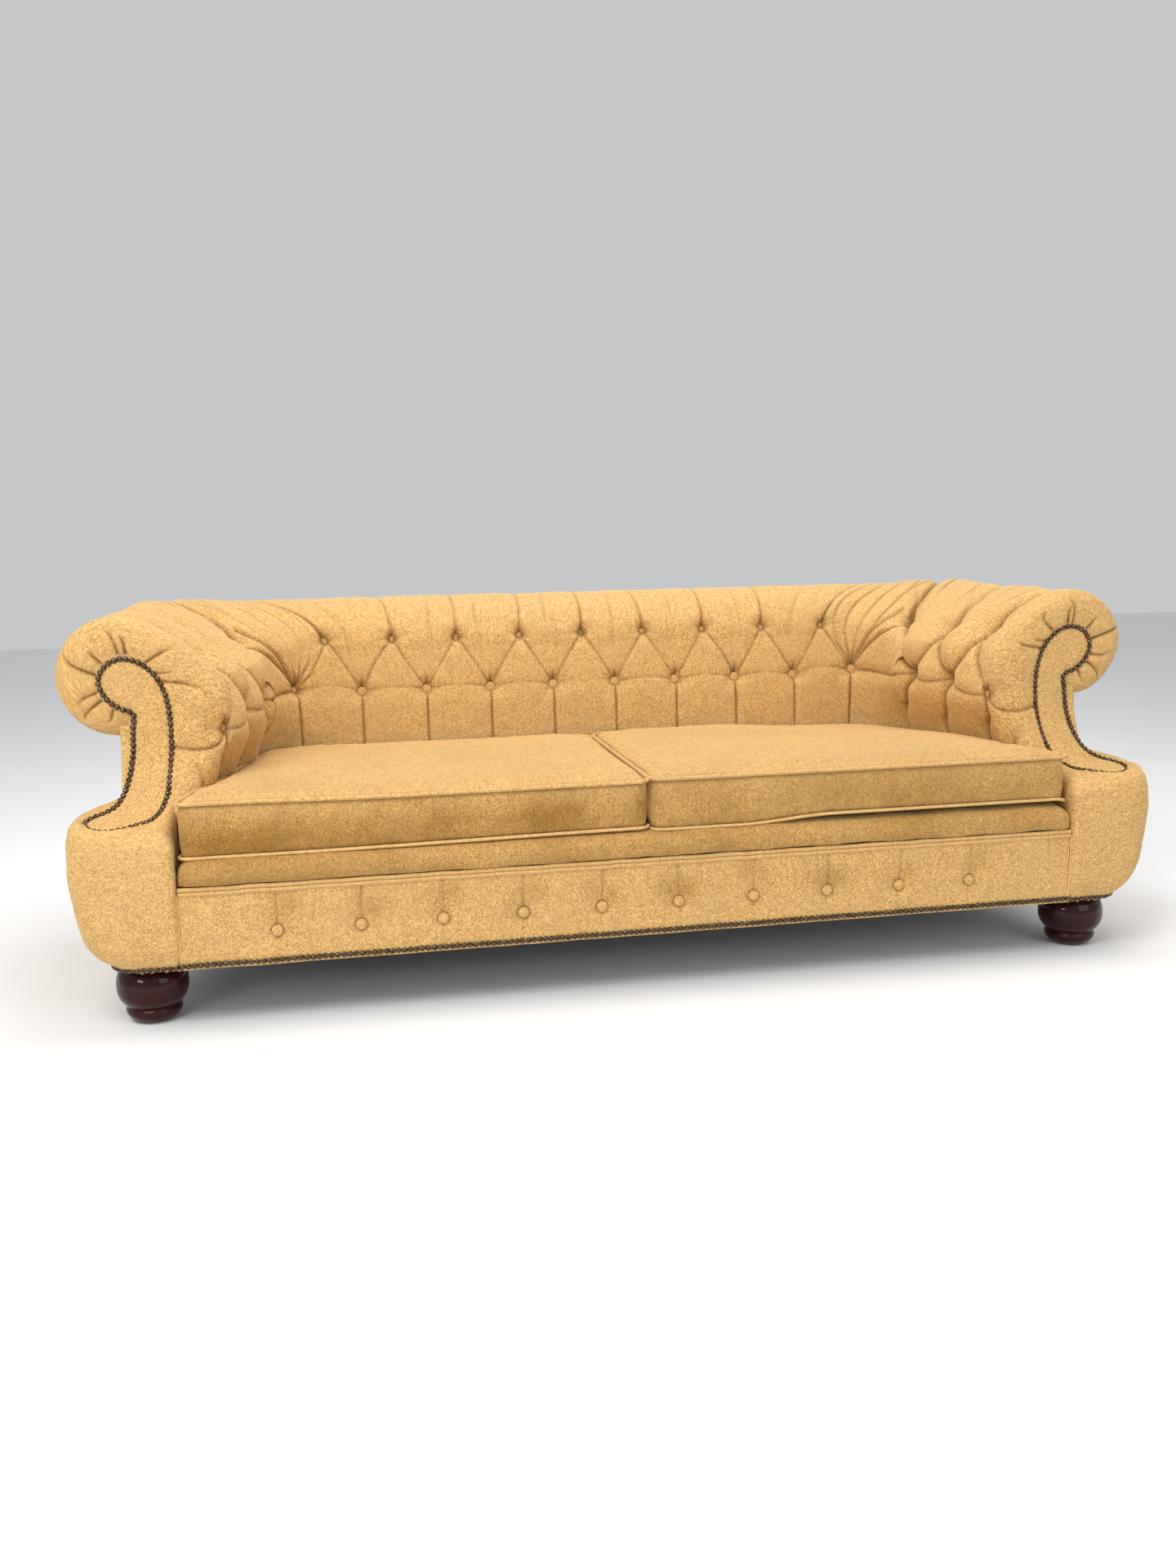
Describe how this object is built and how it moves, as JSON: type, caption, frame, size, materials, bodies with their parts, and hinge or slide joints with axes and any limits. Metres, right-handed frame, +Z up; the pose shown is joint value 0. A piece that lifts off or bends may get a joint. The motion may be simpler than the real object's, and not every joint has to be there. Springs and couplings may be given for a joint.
{
  "type": "sofa",
  "caption": "Rolled-arm club sofa with a deep-buttoned back and arms, two loose seat cushions, nailed scroll fronts and turned bun feet.",
  "frame": {"origin": "on the floor, under the centre of the sofa's bounding box", "axes": "+X to the right of somebody facing the front, +Y to the back, +Z up"},
  "size_m": [2.216, 0.9376, 0.7625],
  "materials": {
    "mustard_chenille": "soft napped chenille upholstery",
    "seat_foam": "open-cell upholstery foam",
    "zip_tape": "woven zip tape with a closed coil",
    "hessian": "coarse plain-woven jute",
    "dust_cloth": "black non-woven dust cloth",
    "frame_wood": "planed, unfinished",
    "turned_wood": "polished dark mahogany",
    "spring_steel": "plain drawn steel",
    "antique_nails": "antiqued, highlights rubbed bright"
  },
  "bodies": {
    "root": {"back_pad": "mustard_chenille", "front_border_panel": "mustard_chenille", "front_welt": "mustard_chenille", "deck_front_lip": "mustard_chenille", "deck_pad": "mustard_chenille", "outside_back_panel": "mustard_chenille", "left_arm_pad": "mustard_chenille", "right_arm_pad": "mustard_chenille", "left_arm_block_pad": "mustard_chenille", "right_arm_block_pad": "mustard_chenille", "left_arm_facing": "mustard_chenille", "right_arm_facing": "mustard_chenille", "left_outside_arm_panel": "mustard_chenille", "right_outside_arm_panel": "mustard_chenille", "spring_cover": "hessian", "dust_cover": "dust_cloth", "front_seat_rail": "frame_wood", "rear_seat_rail": "frame_wood", "centre_seat_rail": "frame_wood", "back_top_rail": "frame_wood", "left_side_rail": "frame_wood", "right_side_rail": "frame_wood", "left_arm_plinth": "frame_wood", "right_arm_plinth": "frame_wood", "left_rear_corner_block": "frame_wood", "right_rear_corner_block": "frame_wood", "left_arm_scroll_board": "frame_wood", "right_arm_scroll_board": "frame_wood", "left_arm_top_rail": "frame_wood", "right_arm_top_rail": "frame_wood", "left_back_corner_post": "frame_wood", "right_back_corner_post": "frame_wood", "left_back_middle_post": "frame_wood", "right_back_middle_post": "frame_wood", "left_front_bun_foot": "turned_wood", "right_front_bun_foot": "turned_wood", "left_rear_bun_foot": "turned_wood", "right_rear_bun_foot": "turned_wood", "left_front_foot_bolt": "spring_steel", "right_front_foot_bolt": "spring_steel", "left_rear_foot_bolt": "spring_steel", "right_rear_foot_bolt": "spring_steel", "seat_spring_1": "spring_steel", "seat_spring_2": "spring_steel", "seat_spring_3": "spring_steel", "seat_spring_4": "spring_steel", "seat_spring_5": "spring_steel", "seat_spring_6": "spring_steel", "base_nail_strip": "antique_nails", "left_block_nail_strip": "antique_nails", "right_block_nail_strip": "antique_nails", "left_facing_nail_strip": "antique_nails", "right_facing_nail_strip": "antique_nails"},
    "left_cushion": {"left_cushion_cover": "mustard_chenille", "left_cushion_foam": "seat_foam", "left_cushion_zip": "zip_tape"},
    "right_cushion": {"right_cushion_cover": "mustard_chenille", "right_cushion_foam": "seat_foam", "right_cushion_zip": "zip_tape"}
  },
  "joints": [
    {"name": "left_cushion_lift", "type": "slide", "parent": "root", "child": "left_cushion", "axis": [0, 0, 1], "range_m": [0, 0.46]},
    {"name": "right_cushion_lift", "type": "slide", "parent": "root", "child": "right_cushion", "axis": [0, 0, 1], "range_m": [0, 0.46]}
  ]
}
